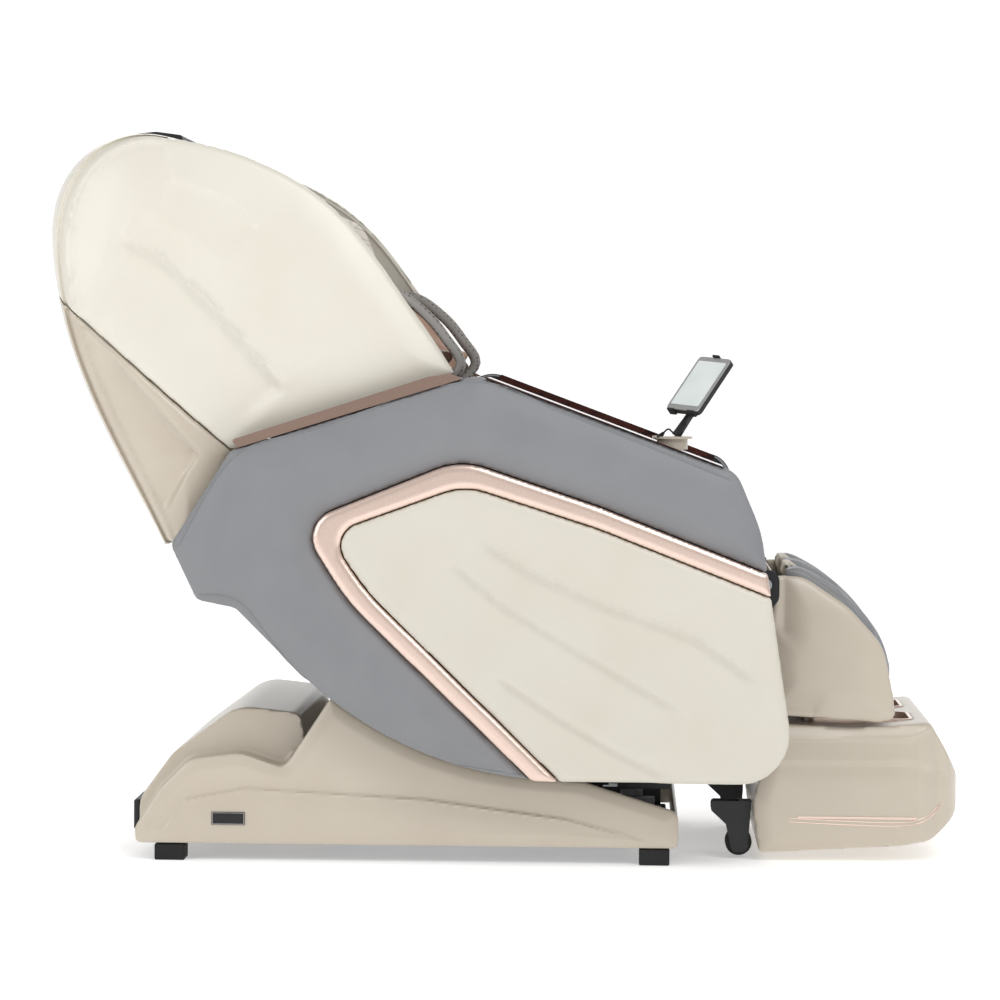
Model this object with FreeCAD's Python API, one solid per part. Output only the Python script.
import FreeCAD, Part
import math
import os

# Full-body massage chair in its upright, parked position.
# +X is forward, +Y is the sitter's left, +Z is up. The origin is on the floor, under the middle
# of the chair. All sizes are in millimetres.

V = FreeCAD.Vector
AXIS_Y = V(0, 1, 0)

# ---- driving dimensions ----
WIDTH = 820.0            # over the two upholstered side panels
CROWN_Z = 1245.0         # top of the back shell
REAR_X = -791.0          # rearmost point of the back shell
KNEE_X = 455.0           # leg-rest hinge
KNEE_Z = 478.0
RECLINE_X = -103.0       # backrest hinge
RECLINE_Z = 464.0
SWING_X = 112.0          # the seat tilts about this point in the air
SWING_Z = 802.0
SWEEP_R = 650.0          # underside of the side panels, round the swing point

PANEL_DEPTH = 34.0       # padded side panel
CARRIER = 7.0            # plate behind a side panel
SIDE_GAP = 5.0           # between the carriers and the moving back
SHELL_WALL = 12.0        # back shell
SEAM = 1.0               # gap between neighbouring covers
CENTRE_HALF = 150.0      # half width of the back's centre cover
SEAT_HALF = 255.0        # half width of the seat and back cushions
PLATE = 8.0              # steel side plates
PLATE_GAP = 4.0          # between plates that turn past each other
BASE_HALF = 320.0
COVER_WALL = 8.0         # base covers
HUMP_HALF = 268.0        # half width of the base's rear hump
FOOT_HEIGHT = 28.0

RAIL_R = 592.0           # outer radius of the rocker rails
RAIL_DEEP = 30.0
RAIL_WIDE = 24.0
WHEEL_R = 22.0           # cradle rollers
SHAFT_R = 8.0            # cradle roller shafts
PIN_R = 11.0             # hinge pins
RUN_FIT = 0.05           # radial clearance of a running fit
AIR = 0.4                # gap between pieces that roll or slide past each other

LEG_HALF = 260.0
LEG_WALL = 12.0
CALF_IN = 42.0           # inner edge of a calf channel
CALF_OUT = 178.0         # outer edge of a calf channel
FOOT_HALF = 252.0

# ---- levels across the chair, measured outwards from the middle ----
HALF = WIDTH / 2
PANEL_IN = HALF - PANEL_DEPTH
SIDE_IN = PANEL_IN - CARRIER
WING_OUT = SIDE_IN - SIDE_GAP
PLATE_IN = SEAT_HALF + 7
PLATE_OUT = PLATE_IN + PLATE
BACK_IN = PLATE_OUT + PLATE_GAP
BACK_OUT = BACK_IN + PLATE
ARM_IN = BACK_OUT + 8
RAIL_OUT = PLATE_IN - AIR
RAIL_IN = RAIL_OUT - RAIL_WIDE


# ---- helpers ----
def outline(corners):
    """Closed wire in the X-Z plane from (x, z, corner radius) points."""
    spots = [V(x, 0, z) for x, z, _ in corners]
    bends = []
    for i, (_, _, radius) in enumerate(corners):
        back = (spots[i - 1] - spots[i]).normalize()
        ahead = (spots[(i + 1) % len(spots)] - spots[i]).normalize()
        half = back.getAngle(ahead) / 2
        middle = (back + ahead).normalize()
        reach = radius / math.tan(half) if radius else 0.0
        crest = spots[i] + middle * (radius / math.sin(half) - radius)
        bends.append((spots[i] + back * reach, crest, spots[i] + ahead * reach))
    edges = []
    for i, (start, crest, end) in enumerate(bends):
        if corners[i][2] > 0:
            edges.append(Part.Arc(start, crest, end).toShape())
        following = bends[(i + 1) % len(bends)][0]
        if end.distanceToPoint(following) > 0.01:
            edges.append(Part.LineSegment(end, following).toShape())
    return Part.Wire(edges)


def plate(corners, y0, y1, grow=0.0):
    """Outline in the X-Z plane, grown all round if asked, and as thick as y0 to y1."""
    face = Part.Face(outline(corners))
    face = face.makeOffset2D(grow) if grow else face
    face.translate(V(0, y0, 0))
    return face.extrude(V(0, y1 - y0, 0))


def block(x0, x1, y0, y1, z0, z1, radius=0.0):
    """Box between two corners, its edges rounded where a radius is given."""
    solid = Part.makeBox(x1 - x0, y1 - y0, z1 - z0, V(x0, y0, z0))
    return solid.makeFillet(radius, solid.Edges) if radius else solid


def rod(x, z, radius, y0, y1):
    """Cylinder across the chair."""
    return Part.makeCylinder(radius, y1 - y0, V(x, y0, z), AXIS_Y)


def ring(x, z, r_in, r_out, y0, y1):
    return rod(x, z, r_out, y0, y1).cut(rod(x, z, r_in, y0 - 1, y1 + 1))


def join(shapes):
    return shapes[0].fuse(shapes[1:]).removeSplitter() if len(shapes) > 1 else shapes[0]


def left(shape):
    """The same piece on the chair's left side."""
    return shape.mirror(V(0, 0, 0), AXIS_Y)


def both(shape):
    return [shape, left(shape)]


def on_back(along, out):
    """Point beside the backrest line: along it from the hinge, and out towards the sitter."""
    lean = math.radians(22.7)
    return (RECLINE_X - along * math.sin(lean) + out * math.cos(lean),
            RECLINE_Z + along * math.cos(lean) + out * math.sin(lean))


def round_swing(radius, degrees):
    """Point on a circle round the swing point, in degrees forward of straight down."""
    angle = math.radians(degrees)
    return SWING_X + radius * math.sin(angle), SWING_Z - radius * math.cos(angle)


nodes = {}


def add(name, *shapes):
    nodes[name] = shapes[0] if len(shapes) == 1 else Part.makeCompound(list(shapes))


# ---- base, fixed to the floor ----
BASE_FRONT = 309.0
BASE_REAR = -618.0
BASE_LOW = FOOT_HEIGHT + 2
CHANNEL_TOP = 84.0
RAIL_TOP = 98.0


def base_outline(inset=0.0):
    top = SWEEP_R + 5 + inset
    fin = round_swing(top, -37.3)
    dip = round_swing(top / math.cos(math.radians(16.4)), -20.9)
    return [(BASE_REAR + inset, BASE_LOW, 8), (BASE_REAR - 2 + inset, 56, 22), (-578, 122, 60),
            (-528, 174, 45),
            (-440, 186, 60), (-364, 160, 20), (fin[0], fin[1], 4), (dip[0], dip[1], SWEEP_R),
            (150, 142, 60), (BASE_FRONT, 92, 16), (BASE_FRONT, BASE_LOW, 8)]


def make_base():
    channel = block(-565, 285, -290, -240, FOOT_HEIGHT, CHANNEL_TOP, 3)
    channel = channel.cut(block(-566, 286, -284, -239, FOOT_HEIGHT + 6, CHANNEL_TOP - 6))
    crosses = [block(x, x + 40, -286, 286, FOOT_HEIGHT + 6, CHANNEL_TOP) for x in (-500, -320, -40, 210)]
    add("base_frame", join(both(channel) + crosses))

    foot = []
    for x in (-586, 243):
        pad = block(x, x + 52, -312, -262, 0, FOOT_HEIGHT, 3)
        foot += both(pad)
    add("rubber_feet", *foot)

    side = plate(base_outline(), -BASE_HALF, -BASE_HALF + COVER_WALL)
    add("base_side_covers", *both(side))

    inner = BASE_HALF - COVER_WALL - SEAM
    hump = [(BASE_REAR, BASE_LOW, 6), (BASE_REAR, 100, 50), (-560, 180, 60), (-450, 262, 70),
            (-340, 250, 20),
            (-326, 172, 10), (-326, 100, 10), (-500, BASE_LOW, 0)]
    hollow = [(BASE_REAR + COVER_WALL, BASE_LOW - 5, 0), (BASE_REAR + COVER_WALL, 97, 44), (-555, 173, 54),
              (-448, 252, 64), (-349, 242, 14), (-335, 172, 5), (-335, 100, 0), (-490, BASE_LOW - 5, 0)]
    lobes = plate(hump, -HUMP_HALF, HUMP_HALF).cut(plate(hollow, -HUMP_HALF + COVER_WALL,
                                                         HUMP_HALF - COVER_WALL))
    lobes = lobes.cut(block(-585, 300, -292, 292, 0, CHANNEL_TOP + 2))
    deck = [(BASE_REAR, 30, 0), (BASE_REAR, 57, 20), (-577, 121, 58), (-527, 173, 43), (-440, 185, 58),
            (-366, 160, 18),
            (-352, 182, 0), (-348, 170, 0), (-362, 148, 8), (-440, 176, 50), (-522, 165, 40), (-571, 117,
                                                                                               50),
            (BASE_REAR + 6, 56, 15), (BASE_REAR + 6, 30, 0)]
    ledge = plate(deck, -inner, -HUMP_HALF - SEAM)
    front = block(BASE_FRONT - COVER_WALL, BASE_FRONT, -inner, inner, BASE_LOW, 84, 2)
    lobes = max(lobes.Solids, key=lambda solid: solid.Volume)
    add("base_end_covers", lobes, *both(ledge), front)

    rail = block(-330, 270, -160, -140, CHANNEL_TOP, RAIL_TOP)
    add("glide_rails", *both(rail))
    screw = Part.makeCylinder(7, 560, V(-320, 0, 104), V(1, 0, 0))
    ends = [block(x, x + 14, -22, 22, CHANNEL_TOP, 118) for x in (-322, 236)]
    add("glide_screw", join([screw] + ends))

    box_y0, box_y1 = -250, -130
    housing = block(BASE_REAR - 12, BASE_REAR - 0.5, box_y0, box_y1, 44, 96, 4)
    housing = housing.cut(block(BASE_REAR - 13, BASE_REAR - 4, -236, -206, 58, 82))
    housing = housing.cut(block(BASE_REAR - 13, BASE_REAR - 5, -196, -168, 60, 80))
    housing = housing.cut(Part.makeCylinder(7.4, 8, V(BASE_REAR - 13, -150, 70), V(1, 0, 0)))
    add("power_box", housing)
    pins = [block(BASE_REAR - 10, BASE_REAR - 5, -188 + step, -184 + step, 66, 74) for step in (0, 5.5, 11)]
    contacts = join([block(BASE_REAR - 5.6, BASE_REAR - 5.05, -195, -169, 61, 79)] + pins)
    add("mains_inlet", contacts, Part.makeCylinder(7, 9, V(BASE_REAR - 16, -150, 70), V(1, 0, 0)))
    rocker = plate([(BASE_REAR - 14, 60, 1), (BASE_REAR - 11.5, 70, 30), (BASE_REAR - 14, 80, 1),
                    (BASE_REAR - 7, 80, 1), (BASE_REAR - 7, 60, 1)], -234, -208)
    add("power_switch", rocker.fuse(rod(BASE_REAR - 7, 70, 2, -235, -207)))
    add("name_plate", block(-487, -430, -BASE_HALF - 2, -BASE_HALF - 0.05, 63, 85, 0.9))


# ---- carriage: glides forward on the base and cradles the seat ----
WHEEL_ORBIT = RAIL_R + WHEEL_R + AIR
WHEEL_SPOTS = {"rear": -23.0, "front": 13.0}


def make_carriage():
    deck = block(-215, 190, -185, 185, 122, 130)
    shoes = []
    for x in (-200, 110):
        shoe = block(x, x + 70, -172, -128, 87, 122)
        shoe = shoe.cut(block(x - 1, x + 71, -160 - AIR, -140 + AIR, 80, RAIL_TOP + AIR))
        shoes += both(shoe)
    towers = []
    for degrees in WHEEL_SPOTS.values():
        x, z = round_swing(WHEEL_ORBIT, degrees)
        tower = plate([(x - 45, 122, 0), (x - 18, z + 14, 12), (x + 18, z + 14, 12), (x + 45, 122, 0)],
                      -RAIL_IN + 3, -RAIL_IN + 13)
        tower = tower.cut(rod(x, z, SHAFT_R + RUN_FIT, -RAIL_IN, -RAIL_IN + 20))
        floor = block(x - 45, x + 45, -RAIL_IN + 3, -170, 122, 130)
        towers += both(join([tower, floor]))
    body = join([deck] + shoes + towers)
    add("glide_carriage", body.cut(block(-216, 0, -90, 90, 120, 132)))

    motor = Part.makeCylinder(26, 90, V(-150, -40, 170), AXIS_Y)
    feet = [block(-170, -130, y, y + 8, 130, 160) for y in (-36, 38)]
    bridge = block(-170, -130, -95, 95, 130, 134)
    nut = block(30, 90, -30, 30, 86, 121.8, 3)
    nut = nut.cut(Part.makeCylinder(7 + AIR, 80, V(20, 0, 104), V(1, 0, 0)))
    add("carriage_motors", join([motor, bridge] + feet), nut)

    for place, degrees in WHEEL_SPOTS.items():
        x, z = round_swing(WHEEL_ORBIT, degrees)
        shaft = rod(x, z, SHAFT_R, -RAIL_OUT, RAIL_OUT)
        wheels = both(rod(x, z, WHEEL_R, -RAIL_OUT, -RAIL_IN))
        add("cradle_rollers_" + place, join([shaft] + wheels))


# ---- seat: rocks on the cradle rollers ----
PANEL = [(-550, 545, 10), (-450, 704, 18), (-36, 834, 50), (KNEE_X - 54, 674, 45), (KNEE_X - 12, 575, 200),
         (KNEE_X + 52, 150, 85), (116, 152, 0), (-153, 152, SWEEP_R), (-440, 439, 10), (-506, 452, 15)]
TRIM_OUT = [(KNEE_X + 245, 408, 0), (172, 614, 600), (-62, 692, 120), (-332, 582, 48), (-250, 452, 400),
            (225, -3, 0),
            (KNEE_X + 245, -3, 0)]
TRIM_IN = [(KNEE_X + 245, 372, 0), (172, 578, 600), (-55, 650, 110), (-284, 566, 40), (-222, 472, 400),
           (268, -5, 0),
           (KNEE_X + 245, -5, 0)]
LINE = 1.5               # dark joint line beside the trim


def make_side_panels():
    whole = plate(PANEL, -HALF, -PANEL_IN)
    add("side_panels", *both(whole.cut(plate(TRIM_OUT, -HALF - 1, -PANEL_IN + 1, LINE))))
    middle = whole.common(plate(TRIM_OUT, -HALF - 1, -PANEL_IN + 1))
    add("side_trims", *both(middle.cut(plate(TRIM_IN, -HALF - 2, -PANEL_IN + 2))))
    add("side_inserts", *both(whole.common(plate(TRIM_IN, -HALF - 1, -PANEL_IN + 1, -LINE))))
    strip = [(-436, 709.5, 0), (-60, 827.5, 0), (-80, 836, 4), (-118, 830, 6), (-448, 722, 4)]
    add("side_strips", *both(plate(strip, -HALF + 12, -SIDE_IN)))


ARM_REAR = -22.0
ARM_SLOPE = (676 - 828) / (KNEE_X - 69 - (-22))


def arm_z(x, drop=0.0):
    """Height of the armrest's sloping top."""
    return 828 + (x - ARM_REAR) * ARM_SLOPE - drop


def make_arms():
    front = KNEE_X - 75
    body = plate([(ARM_REAR, arm_z(ARM_REAR, 10), 12), (front, arm_z(front, 10), 20), (front + 42, 560, 60),
                  (front + 42, 452, 20), (ARM_REAR, 452, 12)], -SIDE_IN, -ARM_IN)
    well = plate([(ARM_REAR + 30, 690, 15), (front - 40, 600, 15), (front - 10, 520, 15),
                  (ARM_REAR + 30, 560, 15)],
                 -SIDE_IN + 22, -ARM_IN + 1)
    add("arm_boxes", *both(body.cut(well)))
    upper = plate([(ARM_REAR + 14, arm_z(ARM_REAR, 26), 15), (front - 6, arm_z(front, 26), 15),
                   (front - 38, 606, 10), (ARM_REAR + 14, 696, 10)], -ARM_IN + 0.4, -SEAT_HALF - 3)
    lower = plate([(ARM_REAR + 14, 552, 10), (front - 10, 512, 10), (front + 24, 470, 12),
                   (ARM_REAR + 14, 462, 12)],
                  -ARM_IN + 0.4, -SEAT_HALF - 3)
    upper = upper.common(block(-700, 700, -ARM_IN, -BACK_OUT, 400, 900))
    lower = lower.common(block(-700, 700, -ARM_IN, -BACK_OUT, 400, 900))
    add("forearm_pads", *both(upper), *both(lower))
    inlay = plate([(ARM_REAR + 2, arm_z(ARM_REAR, 9.5), 0), (front - 4, arm_z(front, 9.5), 0),
                   (front + 2, arm_z(front, -4), 5), (ARM_REAR - 6, arm_z(ARM_REAR, -6),
                                                      5)], -HALF + 10, -ARM_IN - 4)
    recess = Part.makeCylinder(DOCK_R - 8 + RUN_FIT, 90, V(DOCK_X, DOCK_Y, 640))
    inlay = inlay.cut([plate(PANEL, -HALF - 1, -SIDE_IN + AIR, AIR), body])
    inlay = max(inlay.Solids, key=lambda solid: solid.Volume)
    add("armrest_inlays", inlay.cut(recess), left(inlay))


DOCK_X = 293.0
DOCK_Y = -338.0
DOCK_R = 34.0


def make_seat():
    side = [(-322, 372, 8), (-322, 412, 8), (-150, 505, 25), (-62, 505, 25), (20, 430, 30),
            (KNEE_X - 60, 424, 20),
            (KNEE_X - 25, KNEE_Z + 26, 20), (KNEE_X + 24, KNEE_Z + 26, 20), (KNEE_X + 24, KNEE_Z - 24, 20),
            (KNEE_X - 30, 380, 30), (300, 262, 20), (112, 236, 300), (-120, 285, 60)]
    sheet = plate(side, -PLATE_OUT, -PLATE_IN)
    sheet = sheet.cut(rod(RECLINE_X, RECLINE_Z, PIN_R, -PLATE_OUT - 1, -PLATE_IN + 1))
    sheet = sheet.cut(rod(KNEE_X, KNEE_Z, PIN_R, -PLATE_OUT - 1, -PLATE_IN + 1))
    tubes = [rod(x, z, 16, -PLATE_IN - 1, PLATE_IN + 1) for x, z in ((-215, 420), (KNEE_X - 75, 398))]
    ties = [block(x, x + 24, y, y + 5, 400, 440) for x in (330,) for y in (-180, 175)]
    outrigger = block(60, 120, -SIDE_IN, -PLATE_OUT + 0.5, 330, 350)
    rear = block(20, 44, -SIDE_IN, -PLATE_OUT + 0.5, 380, 420)
    fronts = block(KNEE_X - 75, KNEE_X - 50, -SIDE_IN, -PLATE_OUT + 0.5, 360, 400)
    carrier = plate([(x * 0.985, z * 0.985 + 8, r) for x, z, r in PANEL], -PANEL_IN, -SIDE_IN)
    pan = block(-20, KNEE_X - 40, -PLATE_IN - 1, PLATE_IN + 1, 440, 446)
    add("seat_frame", join(both(sheet) + tubes + ties + both(outrigger) + both(rear) + both(fronts)
                           + both(carrier) + [pan]))

    top = [round_swing(RAIL_R - RAIL_DEEP, degrees) for degrees in (-41.0, 15.0)]
    low = [round_swing(RAIL_R, degrees) for degrees in (-41.0, 15.0)]
    mid = [round_swing(radius, -13.0) for radius in (RAIL_R - RAIL_DEEP, RAIL_R)]
    spots = [V(x, -RAIL_OUT, z) for x, z in (top[0], mid[0], top[1], low[1], mid[1], low[0])]
    edges = [Part.Arc(spots[0], spots[1], spots[2]), Part.LineSegment(spots[2], spots[3]),
             Part.Arc(spots[3], spots[4], spots[5]), Part.LineSegment(spots[5], spots[0])]
    rail = Part.Face(Part.Wire([edge.toShape() for edge in edges])).extrude(V(0, RAIL_WIDE, 0))
    add("rocker_rails", *both(rail))

    cushion = plate([(-92, 447, 12), (-98, 492, 18), (70, 480, 200), (300, 502, 150),
                     (KNEE_X - 22, 522, 20),
                     (KNEE_X - 12, 470, 15), (KNEE_X - 40, 447, 10)], -SEAT_HALF, SEAT_HALF)
    pin_room = rod(KNEE_X, KNEE_Z, 34, -SEAT_HALF - 1, SEAT_HALF + 1)
    add("seat_cushion", cushion.cut(pin_room))
    pins = [rod(RECLINE_X, RECLINE_Z, PIN_R, -BACK_OUT - 3, -PLATE_IN + 2)]
    cap = rod(RECLINE_X, RECLINE_Z, PIN_R + 6, -BACK_OUT - 7, -BACK_OUT - 3)
    knee = rod(KNEE_X, KNEE_Z, PIN_R, -PLATE_OUT - 2, -LEG_HALF + 40)
    add("hinge_pins", *both(join(pins + [cap])), *both(knee))


# ---- back: reclines on the seat ----
def back_section(share, inset, opened):
    """One section of the back shell, at a share of the way from the middle to the wing's side."""
    centre = [(-584, 532), (-659, 669), (-755, 888), (REAR_X + 5, 1040), (-785, 1117), (-742, 1200),
              (-678, CROWN_Z - 8)]
    side = [(-556, 548), (-600, 640), (-700, 850), (-735, 1000), (-733, 1090), (-700, 1174), (-645, 1220)]
    rear = []
    for (x0, z0), (x1, z1) in zip(centre, side):
        x, z = x0 + share * (x1 - x0), z0 + share * (z1 - z0)
        away = V(x + 380, 0, z - 880).normalize() * inset
        rear.append(V(x - away.x, 0, z - away.z))
    brow = V(-574, 0, CROWN_Z - 5 - 10 * share - inset)
    front = [brow, V(-421, 0, 1196), V(-252, 0, 1094), V(-120, 0, 950), V(-48, 0, 848)]
    front = [spot + V(opened, 0, opened) if i else spot for i, spot in enumerate(front)]
    base = [V(-90 + opened, 0, 820 - opened), V(-453 + opened, 0, 704 - 2 * opened),
            V(-500, 0, 560 - 2 * opened)]
    return rear, brow, front, base


def back_loft(width, inset=0.0, opened=0.0):
    wires = []
    shares = [(0.0, 0.0), (0.42, 0.05), (0.68, 0.28), (0.88, 0.6), (1.0, 1.0)]
    for place, share in [(-p, s) for p, s in reversed(shares)] + shares[1:]:
        rear, brow, front, base = back_section(share, inset, opened)
        y = V(0, place * width, 0)
        curve = Part.BSplineCurve()
        curve.interpolate([spot + y for spot in rear + [brow]])
        nose = Part.BSplineCurve()
        nose.interpolate([spot + y for spot in front])
        spots = [front[-1]] + base + [rear[0]]
        lines = [Part.LineSegment(a + y, b + y) for a, b in zip(spots, spots[1:])]
        wires.append(Part.Wire([edge.toShape() for edge in [curve, nose] + lines]))
    return Part.makeLoft(wires, True, False)


def make_back_covers():
    outer = back_loft(WING_OUT)
    inner = back_loft(WING_OUT - SHELL_WALL, SHELL_WALL, 90.0)
    shell = outer.cut(inner)
    far = 900
    centre = shell.common(block(-far, far, -CENTRE_HALF + SEAM, CENTRE_HALF - SEAM, 0, 1400))
    add("back_centre_cover", max(centre.Solids, key=lambda solid: solid.Volume))
    wing = shell.common(block(-far, far, -WING_OUT - 5, -CENTRE_HALF, 0, 1400))
    seam = [(-900, 1088.5, 0), (-453, 703, 0), (-300, 571, 0)]
    above = plate(seam + [(100, 571, 0), (100, 1400, 0), (-900, 1400, 0)], -WING_OUT - 5, 0)
    drop = [(x - SEAM, z - SEAM, r) for x, z, r in seam]
    below = plate(drop + [(-300, 300, 0), (-900, 300, 0)], -WING_OUT - 5, 0)
    add("wing_uppers", *both(max(wing.common(above).Solids, key=lambda solid: solid.Volume)))
    add("wing_lowers", *both(max(wing.common(below).Solids, key=lambda solid: solid.Volume)))
    cap = plate([(-652, CROWN_Z - 12, 0), (-648, CROWN_Z + 4, 6), (-612, CROWN_Z + 8, 40),
                 (-566, CROWN_Z + 2, 5),
                 (-562, CROWN_Z - 40, 0)], -118, 118)
    cap = max(cap.cut(outer).Solids, key=lambda solid: solid.Volume)
    cap.translate(V(0, 0, 2 * AIR))
    add("hood_cap", cap)

    lining = [(-540, 1168, 15), (-425, 1158, 60), (-276, 1062, 150), (-132, 905, 60), (-84, 852, 14),
              (-112, 838, 12),
              (-280, 792, 60), (-345, 905, 80), (-478, 1100, 40)]
    add("wing_linings", *both(plate(lining, -WING_OUT + SHELL_WALL + 1, -ARM_IN - 8)))
    pad = [(-258, 915, 25), (-212, 985, 40), (-110, 888, 40), (-66, 862, 12), (-130, 816, 25),
           (-200, 800, 30)]
    add("shoulder_pads", *both(plate(pad, -ARM_IN - 7, -SEAT_HALF - 1)))


def on_line(pairs, y0, y1):
    """Plate whose corners are given beside the backrest line."""
    return plate([(*on_back(along, out), radius) for along, out, radius in pairs], y0, y1)


TRACK_OUT = -125.0
BACK_TOP = 705.0


def make_back_frame():
    side = on_line([(-28, -26, 20), (-28, 26, 20), (60, 10, 30), (BACK_TOP, -34, 10), (BACK_TOP, -72, 10),
                    (325, -172, 30), (120, -165, 30), (20, -60, 20)], -BACK_OUT, -BACK_IN)
    side = side.cut(rod(RECLINE_X, RECLINE_Z, PIN_R + RUN_FIT, -BACK_OUT - 1, -BACK_IN + 1))
    across = [on_line([(along, out, 3), (along + 28, out, 3), (along + 28, out - 18, 3),
                       (along, out - 18, 3)],
                      -BACK_IN, BACK_IN) for along, out in ((130, -150), (BACK_TOP - 32, -45))]
    stays = [on_line([(300, -168, 2), (324, -168, 2), (324, -150, 2), (300, -150, 2)], -BACK_IN, BACK_IN)]
    reach = [on_line([(along, out, 0), (along + 24, out, 0), (along + 24, out - 16, 0),
                      (along, out - 16, 0)],
                     -WING_OUT + SHELL_WALL + 1, -BACK_OUT + 1) for along, out in ((400, -98), (500, -84))]
    legs = [on_line([(300, -160, 0), (324, -160, 0), (324, -300, 0), (300, -300, 0)], -200, -190)]
    lefts = [left(shape) for shape in reach + legs]
    add("back_frame", join(both(side) + across + stays + reach + legs + lefts))
    track = on_line([(100, TRACK_OUT + 16, 2), (BACK_TOP - 34, TRACK_OUT + 16, 2),
                     (BACK_TOP - 34, TRACK_OUT, 2),
                     (100, TRACK_OUT, 2)], -200, -184)
    add("massage_tracks", *both(track))
    cushion = on_line([(72, -24, 20), (40, 20, 25), (110, 50, 60), (350, 36, 200), (BACK_TOP - 20, 40, 25),
                       (BACK_TOP - 8, -24, 10)], -SEAT_HALF, SEAT_HALF)
    add("back_cushion", cushion)
    pillow = on_line([(496, 42, 10), (520, 84, 25), (640, 88, 30), (686, 66, 8), (682, 42, 5)], -165, 165)
    add("head_pillow", pillow)


ROLL_R = 28.0
LIFT_START = 130.0
LIFT_TRAVEL = 360.0


def make_massage():
    start = LIFT_START
    plate_out = [(start, -88, 6), (start + 130, -88, 6), (start + 130, -104, 6), (start, -104, 6)]
    deck = on_line(plate_out, -176, 176)
    guides = [on_line([(start + 5, -88, 3), (start + 125, -88, 3), (start + 125, -145, 3),
                       (start + 5, -145, 3)],
                      -182, -174)]
    ears = [on_line([(start + 50, -100, 4), (start + 80, -100, 4), (start + 80, -66, 10),
                     (start + 50, -66, 10)],
                    y, y + 6) for y in (-120, -44)]
    ears = [ear.cut(rod(*on_back(start + 65, -76), 6 + RUN_FIT, -130, 0)) for ear in ears]
    x, z = on_back(start + 65, -121)
    motors = both(rod(x, z, 18, -110, -40))
    add("massage_carriage", join([deck] + both(guides[0]) + ears + [left(ear) for ear in ears] + motors))
    shaft = rod(*on_back(start + 65, -76), 6, -122, -36)
    arms = [on_line([(start + 5, -70, 6), (start + 125, -70, 6), (start + 125, -82, 6),
                     (start + 5, -82, 6)],
                    -88, -72)]
    pegs = [rod(*on_back(start + along, -76 + 19), 5, -96, -64) for along in (15, 115)]
    posts = [on_line([(start + along - 7, -80, 2), (start + along + 7, -80, 2), (start + along + 7, -50, 6),
                      (start + along - 7, -50, 6)], -88, -72) for along in (15, 115)]
    add("massage_arms", *both(join([shaft] + arms + posts + pegs)))
    for name, along in (("lower", 15), ("upper", 115)):
        x, z = on_back(start + along, -76 + 19)
        rolls = []
        for y in (-110, -69):
            rolls += both(ring(x, z, 5 + RUN_FIT, ROLL_R, y, y + 19))
        add("massage_rollers_" + name, *rolls)


# ---- leg rest: swings up from the seat's front ----
def make_leg_rest():
    x, z = KNEE_X, KNEE_Z
    body = [(x + 15, z + 16, 8), (x + 66, z + 14, 60), (x + 144, z - 38, 110), (x + 204, z - 104, 90),
            (x + 222, z - 192, 60), (x + 226, z - 232, 14), (x + 198, z - 236, 10), (x + 10, z - 224, 15),
            (x - 8, z - 150, 30), (x + 8, z - 40, 10)]
    shell = plate(body, -LEG_HALF, LEG_HALF)
    room = [(x + 20, z + 80, 0), (x + 400, z + 80, 0), (x + 400, z - 400, 0), (x + 84, z - 400, 0),
            (x + 84, z - 216, 10), (x + 22, z - 205, 15), (x + 8, z - 150, 25), (x + 21, z - 40, 10)]
    shell = shell.cut(plate(room, -LEG_HALF + LEG_WALL, LEG_HALF - LEG_WALL))
    for side in both(block(x - 30, x + 32, -LEG_HALF + LEG_WALL - 3, -LEG_HALF + LEG_WALL + 14, z - 78,
                           z + 40)):
        shell = shell.cut(side)
    add("leg_shell", shell)
    arm = plate([(x - 18, z + 20, 16), (x + 18, z + 20, 16), (x + 50, z - 60, 20), (x + 60, z - 188, 10),
                 (x + 30, z - 188, 10), (x + 25, z - 66, 20), (x - 18, z - 18, 16)],
                -LEG_HALF + LEG_WALL + 1, -LEG_HALF + LEG_WALL + 9)
    arm = arm.cut(rod(x, z, PIN_R + RUN_FIT, -LEG_HALF, LEG_HALF))
    bars = [rod(x + 38, z - step, 8, -LEG_HALF + LEG_WALL + 1, LEG_HALF - LEG_WALL - 1) for step in (60,
                                                                                                     165)]
    add("leg_frame", join(both(arm) + bars))

    bolster = [(x + 28, z + 36, 14), (x + 66, z + 38, 30), (x + 142, z - 12, 50), (x + 196, z - 72, 50),
               (x + 222, z - 140, 30), (x + 216, z - 212, 12), (x + 62, z - 204, 20), (x + 64, z - 60, 30)]
    outer = plate(bolster, -LEG_HALF + LEG_WALL + 10, -CALF_OUT - 0.5)
    middle = plate(bolster, -CALF_IN + 0.5, CALF_IN - 0.5)
    add("calf_bolsters", outer, left(outer), middle)
    rest = plate([(x + 28, z + 36, 5), (x + 54, z + 36, 8), (x + 106, z - 110, 60), (x + 112, z - 208, 12),
                  (x + 64, z - 208, 10), (x + 64, z - 60, 30)], -CALF_OUT, -CALF_IN)
    add("calf_pads", *both(rest))


# ---- foot rest: slides out of the leg rest ----
FOOT_REAR = KNEE_X - 18
FOOT_TIP = KNEE_X + 336


def foot_outline(inset):
    x = KNEE_X
    return [(x + 20 + inset, 238 - inset, 10), (x + 150, 232 - inset, 200),
            (x + 286 - inset * 0.6, 243 - inset, 14),
            (x + 314 - inset, 194, 60), (FOOT_TIP - inset, 150, 40), (FOOT_TIP - inset, 84, 35),
            (x + 290 - inset * 0.6, 38 + inset, 40), (x + 236, 28 + inset, 60), (FOOT_REAR + 12 + inset,
                                                                                 14 + inset, 6),
            (FOOT_REAR + inset, 100, 30)]


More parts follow.
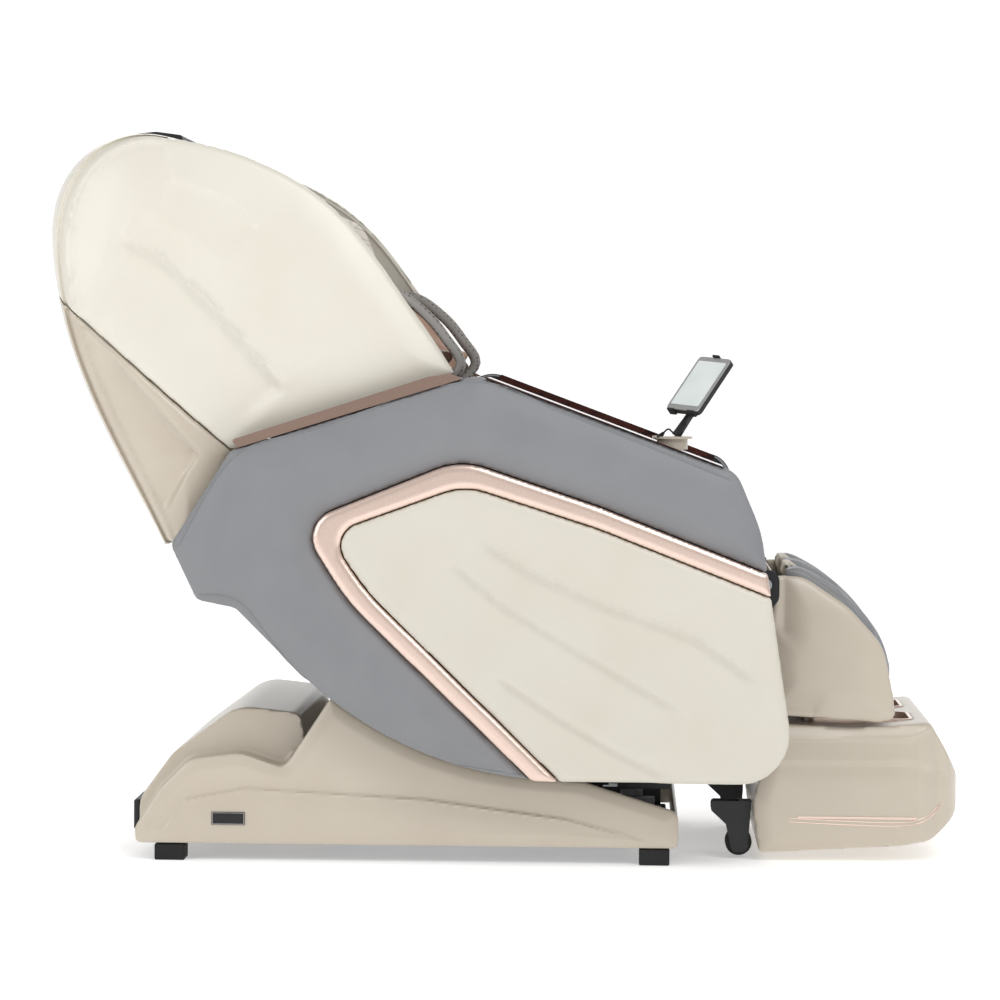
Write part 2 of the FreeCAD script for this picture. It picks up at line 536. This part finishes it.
def make_foot_rest():
    x = KNEE_X
    shell = plate(foot_outline(0), -FOOT_HALF, FOOT_HALF)
    round_plan = Part.makeBox(FOOT_TIP - FOOT_REAR + 20, 2 * FOOT_HALF, 400,
                              V(FOOT_REAR - 20, -FOOT_HALF, 0))
    tips = [edge for edge in round_plan.Edges
            if abs(edge.BoundBox.XMin - FOOT_TIP) < 1 and edge.BoundBox.ZLength > 300]
    shell = shell.common(round_plan.makeFillet(70, tips))
    wells = []
    for y0, y1 in ((-CALF_OUT - 8, -CALF_IN + 4), (CALF_IN - 4, CALF_OUT + 8)):
        wells.append(block(x + 50, x + 300, y0, y1, 56, 190, 20))
        wells.append(block(x + 72, x + 262, y0 + 6, y1 - 6, 120, 320, 20))
    hull = shell.cut(wells[0].fuse(wells[1:]))
    add("foot_shell", hull)
    rims, liners, boots = [], [], []
    for side in (-1, 1):
        y0, y1 = sorted((side * (CALF_OUT + 1.5), side * (CALF_IN + 2.5)))
        rim = block(x + 72.5, x + 261.5, y0, y1, 180, 280, 20)
        rim = rim.cut(block(x + 78, x + 256, y0 + 5.5, y1 - 5.5, 160, 300, 16))
        rim = rim.common(block(0, 900, -400, 400, 212, 242))
        rims.append(rim)
        y0, y1 = sorted((side * (CALF_OUT + 7.5), side * (CALF_IN - 3.5)))
        boot = block(x + 50.5, x + 299.5, y0, y1, 56.5, 130, 20)
        boots.append(boot.cut(block(x + 58, x + 292, y0 + 8, y1 - 8, 80, 200, 10)).common(block(0, 900,
        -400, 400, 56.5, 119)))
    gap = block(x + 150, x + 190, -160, -60, 50, 100)
    add("foot_liners", *both(boots[0].cut(gap)))
    line = block(x + 60, FOOT_TIP - 72, -FOOT_HALF - 1.2, -FOOT_HALF - 0.05, 76, 80)
    add("foot_trims", *rims, *both(line))

    shaft = rod(x + 170, 78, 5, -158, -62)
    rolls = [rod(x + 170, 78, 14, -119 + step, -101 + step) for step in (-30, 0, 30)]
    add("sole_rollers", *both(join([shaft] + rolls)))
    yoke = [block(x + 160, x + 180, side * 110 + step - 2, side * 110 + step + 2, 57, 88)
            .cut(rod(x + 170, 78, 5 + RUN_FIT, -300, 300)) for side in (-1, 1) for step in (-46, 46)]
    add("sole_bearings", *yoke)

    bracket = plate([(x - 88, 100, 6), (x - 20, 100, 6), (x - 20, 72, 0), (x - 25, 12, 10),
                     (x - 52, 12, 10),
                     (x - 62, 60, 6), (x - 88, 84, 6)], -216, -212)
    bracket = bracket.cut(rod(ROLLER_X, ROLLER_Z, 6, -220, -180))
    tab = block(x - 40, x - 18.5, -216, -176, 84, 100)
    inner = bracket.copy()
    inner.translate(V(0, 36, 0))
    pin = rod(ROLLER_X, ROLLER_Z, 6, -216, -176)
    add("roller_brackets", *both(join([bracket, inner, tab, pin])))
    add("floor_rollers", *both(ring(ROLLER_X, ROLLER_Z, 6 + RUN_FIT, 23, -211, -181)))


ROLLER_X = KNEE_X - 40
ROLLER_Z = 29.0


# ---- linear actuators ----
def along_line(start, end, y, radius, reach0, reach1):
    """Round bar on the line from start towards end, between two distances."""
    direction = V(end[0] - start[0], 0, end[1] - start[1]).normalize()
    origin = V(start[0], y, start[1]) + direction * reach0
    return Part.makeCylinder(radius, reach1 - reach0, origin, direction)


LIFT_BASE = (70.0, 330.0)
LIFT_EYE = (KNEE_X - 10, 330.0)


def make_actuators():
    body = along_line(LIFT_BASE, LIFT_EYE, 60, 20, 0, 190)
    bore = along_line(LIFT_BASE, LIFT_EYE, 60, 9 + RUN_FIT, 20, 200)
    motor = along_line(LIFT_BASE, LIFT_EYE, 100, 22, 0, 80)
    link = block(LIFT_BASE[0] + 8, LIFT_BASE[0] + 60, 60, 100, LIFT_BASE[1] - 14, LIFT_BASE[1] + 14)
    add("leg_actuator", join([body, motor, link]).cut(bore))
    add("leg_actuator_rod", along_line(LIFT_BASE, LIFT_EYE, 60, 9, 60, 250))


# ---- tablet on the right armrest ----
TILT_AT = V(347, -334, 806)
FACE_OUT = V(-0.456, -0.581, 0.674)
SCREEN_UP = V(0.507, 0.484, 0.760)


def make_tablet():
    dock_z = arm_z(DOCK_X, -5)
    top_z = dock_z + DOCK_R * -ARM_SLOPE + AIR
    hub_z = arm_z(DOCK_X - DOCK_R + 8, 10) + AIR
    dock = Part.makeCylinder(DOCK_R - 8, top_z - hub_z + 1, V(DOCK_X, DOCK_Y, hub_z)).fuse(
        Part.makeCylinder(DOCK_R, 4, V(DOCK_X, DOCK_Y, top_z)))
    add("tablet_turntable", dock)
    foot = V(DOCK_X + 6, DOCK_Y, top_z + 4)
    stem = Part.makeCone(8, 5, (TILT_AT - foot).Length - 6, foot, TILT_AT - foot)
    add("tablet_stem", stem.fuse(Part.makeSphere(8, TILT_AT)).cut(dock))

    up = SCREEN_UP.normalize()
    out = (FACE_OUT - up * FACE_OUT.dot(up)).normalize()
    across = up.cross(out)
    middle = TILT_AT + out * 19

    def slab(width, height, deep, lift, radius):
        plain = Part.makeBox(width, height, deep, V(-width / 2, -height / 2, 0))
        plain = plain.makeFillet(radius, [e for e in plain.Edges if e.BoundBox.ZLength > deep - 0.1])
        plain.Placement = FreeCAD.Placement(middle + out * lift, FreeCAD.Rotation(across, up, out, "ZXY"))
        return plain

    case = slab(72, 120, 8, -6, 8)
    socket = Part.makeCylinder(12, 9, TILT_AT + out * 4, out).cut(Part.makeSphere(8 + AIR, TILT_AT))
    add("tablet_bezel", slab(70, 118, 2.4, 2.1, 7))
    add("tablet_screen", slab(60, 98, 0.8, 4.6, 2))
    clips = []
    for move_across, move_up in ((0, 61.5), (-22, -61.5), (22, -61.5)):
        clip = Part.makeBox(14, 3, 14, V(-7, -1.5, -7))
        clip.Placement = FreeCAD.Placement(middle + out * 0.5 + across * move_across + up * move_up,
                                           FreeCAD.Rotation(across, up, out, "ZXY"))
        clips.append(clip)
    add("tablet_case", case.fuse([socket] + clips))
    low = middle - up * 60.2 + across * 18 - out * 6
    plug = Part.makeCone(4.2, 2.4, 20, low, up * -1)
    add("tablet_plug", plug.cut(nodes["tablet_case"]))
    outlet = V(DOCK_X - 22, DOCK_Y - 20, top_z + 3)
    exit_way = V(0.55, -0.60, 0.58).normalize()
    add("lead_outlet", Part.makeCone(5, 2.6, 12, outlet, exit_way).cut(dock))
    return low - up * 20, outlet + exit_way * 12


def cord_tube(points, radius):
    """Tube of straight runs and tangent arcs; prints each arc's radius."""
    edges, at = [], points[0]
    for before, spot, after in zip(points, points[1:], points[2:]):
        back, ahead = (before - spot), (after - spot)
        shorter = min(back.Length, ahead.Length)
        back.normalize()
        ahead.normalize()
        half_turn = (math.pi - back.getAngle(ahead)) / 2
        reach = 0.45 * shorter
        bend = reach / math.tan(half_turn)
        middle = (back + ahead).normalize()
        crest = spot + middle * (bend / math.cos(half_turn) - bend)
        print("lead bend radius", round(bend, 1), "turn", round(math.degrees(2 * half_turn)))
        edges.append(Part.LineSegment(at, spot + back * reach).toShape())
        edges.append(Part.Arc(spot + back * reach, crest, spot + ahead * reach).toShape())
        at = spot + ahead * reach
    edges.append(Part.LineSegment(at, points[-1]).toShape())
    path = Part.Wire(edges)
    ring_wire = Part.Wire([Part.Circle(points[0], points[1] - points[0], radius).toShape()])
    tube = path.makePipeShell([ring_wire], True, True)
    print("lead length", round(path.Length, 1), "volume ratio",
          round(tube.Volume / (math.pi * radius ** 2 * path.Length), 4))
    return tube


LEAD_R = 1.5
LEAD_BENDS = [V(307.0, -398.8, 742.4), V(295.0, -388.5, 738.0), V(285.8, -374.15, 747.32)]


make_base()
make_carriage()
make_side_panels()
make_arms()
make_seat()
make_back_covers()
make_back_frame()
make_massage()
make_leg_rest()
make_foot_rest()
make_actuators()
plug_end, outlet_end = make_tablet()
print("lead ends", plug_end, outlet_end)
add("tablet_lead", cord_tube([plug_end] + LEAD_BENDS + [outlet_end], LEAD_R))

os.makedirs("parts", exist_ok=True)
for name, shape in nodes.items():
    if not shape.isValid() or not shape.Solids:
        print("BAD", name, shape.isValid(), len(shape.Solids))
    shape.exportStep("parts/" + name + ".step")
print(len(nodes), "nodes")
